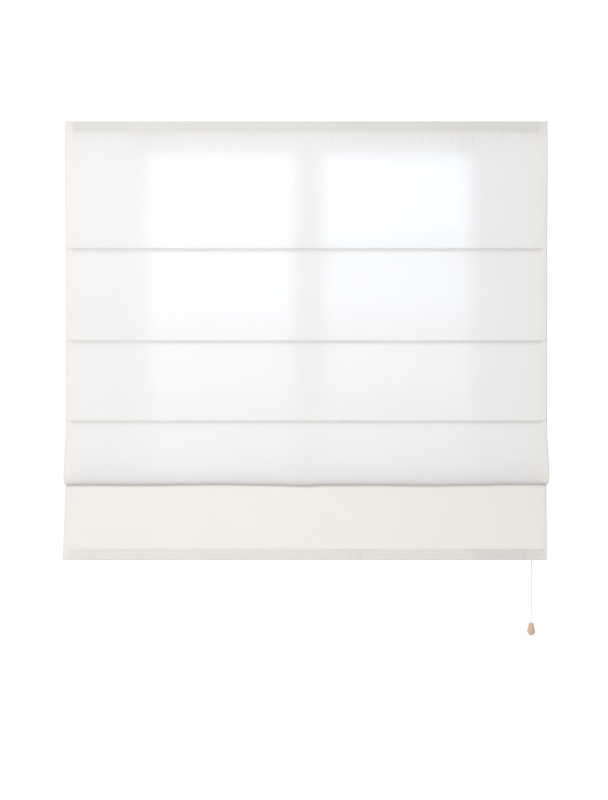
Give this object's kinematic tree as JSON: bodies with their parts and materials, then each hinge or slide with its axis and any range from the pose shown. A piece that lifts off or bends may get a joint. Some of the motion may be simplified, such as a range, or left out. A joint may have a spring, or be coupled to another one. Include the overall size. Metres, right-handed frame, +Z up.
{
  "type": "roman blind",
  "caption": "White cloth roman blind on a wall-fixed headrail: stiffening rods, a soft gathered fold, rear lift cords through rings, a cord lock and a wooden acorn pull.",
  "frame": {"origin": "centre of the rectangle of four wall screw holes, on the brackets' wall faces", "axes": "+Z up, front towards -Y, +X to the right seen from the front, wall in the plane y = 0"},
  "size_m": [1.2, 0.0656, 1.2825],
  "materials": {
    "cloth": "plain weave, satin-matt",
    "tape": "hook and loop",
    "rail": "powder coated white",
    "plastic": "moulded white",
    "steel": "zinc plated",
    "brass": "fluted",
    "rod": "drawn glass fibre, white",
    "ring": "clear-white",
    "bar": "mill finish",
    "cord": "braided polyester",
    "wood": "waxed beech"
  },
  "bodies": {
    "root": {"headrail": "rail", "rail_end_cap_left": "plastic", "rail_end_cap_right": "plastic", "hook_tape": "tape", "loop_tape": "tape", "bracket_left": "steel", "bracket_right": "steel", "cord_guide_left": "plastic", "cord_guide_middle": "plastic", "cord_guide_right": "plastic", "guide_pin_left": "steel", "guide_pin_middle": "steel", "guide_pin_right": "steel", "cord_lock_housing": "plastic", "cord_lock_pin": "steel", "fabric_top_stretch": "cloth", "lift_cord_left": "cord", "lift_cord_middle": "cord", "lift_cord_right": "cord"},
    "lever_left": {"locking_lever_left": "steel"},
    "lever_right": {"locking_lever_right": "steel"},
    "roller_left": {"guide_roller_left": "plastic"},
    "roller_middle": {"guide_roller_middle": "plastic"},
    "roller_right": {"guide_roller_right": "plastic"},
    "lock_pulley": {"cord_lock_pulley": "plastic"},
    "lock_grip": {"cord_lock_grip_roller": "brass"},
    "rod_1_row": {"rod_1": "rod", "rod_1_tips": "plastic", "rod_1_rings": "ring", "fabric_second_stretch": "cloth"},
    "rod_2_row": {"rod_2": "rod", "rod_2_tips": "plastic", "rod_2_rings": "ring", "fabric_third_stretch": "cloth"},
    "rod_3_row": {"rod_3": "rod", "rod_3_tips": "plastic", "rod_3_rings": "ring", "fabric_fold_stretch": "cloth"},
    "bottom_row": {"rod_4": "rod", "rod_4_tips": "plastic", "rod_4_rings": "ring", "fabric_bottom_stretch": "cloth", "bottom_bar": "bar", "bottom_bar_cap_left": "plastic", "bottom_bar_cap_right": "plastic", "cord_orbs": "ring", "cord_orb_knots": "cord"},
    "pull": {"condenser_cap": "plastic", "condenser_body": "plastic", "condenser_knots": "cord", "pull_cord": "cord", "pull_acorn": "wood", "pull_acorn_knot": "cord"}
  },
  "joints": [
    {"name": "rod_1_lift", "type": "slide", "parent": "root", "child": "rod_1_row", "axis": [0, 0, 1], "range_m": [0, 0.276], "deforming": ["fabric_top_stretch"]},
    {"name": "rod_2_lift", "type": "slide", "parent": "rod_1_row", "child": "rod_2_row", "axis": [0, 0, 1], "range_m": [0, 0.216], "deforming": ["fabric_second_stretch"]},
    {"name": "rod_3_lift", "type": "slide", "parent": "rod_2_row", "child": "rod_3_row", "axis": [0, 0, 1], "range_m": [0, 0.186], "deforming": ["fabric_third_stretch"]},
    {"name": "bottom_lift", "type": "slide", "parent": "rod_3_row", "child": "bottom_row", "axis": [0, 0, 1], "range_m": [-0.08, 0.109], "deforming": ["fabric_fold_stretch", "lift_cord_left", "lift_cord_middle", "lift_cord_right"]},
    {"name": "cord_pull", "type": "slide", "parent": "root", "child": "pull", "axis": [0, 0, 1], "range_m": [-0.109, 0.08]},
    {"name": "roller_left_spin", "type": "hinge", "parent": "root", "child": "roller_left", "pos_m": [-0.475, -0.021, 0.0259], "axis": [0, 1, 0], "range_deg": [-918, 1250]},
    {"name": "roller_middle_spin", "type": "hinge", "parent": "root", "child": "roller_middle", "pos_m": [0.005, -0.021, 0.0259], "axis": [0, 1, 0], "range_deg": [-918, 1250]},
    {"name": "roller_right_spin", "type": "hinge", "parent": "root", "child": "roller_right", "pos_m": [0.485, -0.021, 0.0259], "axis": [0, 1, 0], "range_deg": [-918, 1250]},
    {"name": "lock_pulley_spin", "type": "hinge", "parent": "root", "child": "lock_pulley", "pos_m": [0.558, -0.021, 0.0259], "axis": [0, 1, 0], "range_deg": [-918, 1250]},
    {"name": "lock_grip_release", "type": "slide", "parent": "root", "child": "lock_grip", "axis": [0.5, 0, 0.866], "range_m": [0, 0.003]},
    {"name": "lever_left_turn", "type": "hinge", "parent": "root", "child": "lever_left", "pos_m": [-0.4, -0.021, 0.043], "axis": [0, 0, 1], "range_deg": [0, 90]},
    {"name": "lever_right_turn", "type": "hinge", "parent": "root", "child": "lever_right", "pos_m": [0.4, -0.021, 0.043], "axis": [0, 0, 1], "range_deg": [0, 90]}
  ],
  "couplings": [
    {"joint": "cord_pull", "follows": "bottom_lift", "ratio": -1},
    {"joint": "roller_left_spin", "follows": "bottom_lift", "rad_per_m": 200},
    {"joint": "roller_middle_spin", "follows": "bottom_lift", "rad_per_m": 200},
    {"joint": "roller_right_spin", "follows": "bottom_lift", "rad_per_m": 200},
    {"joint": "lock_pulley_spin", "follows": "bottom_lift", "rad_per_m": 200}
  ]
}
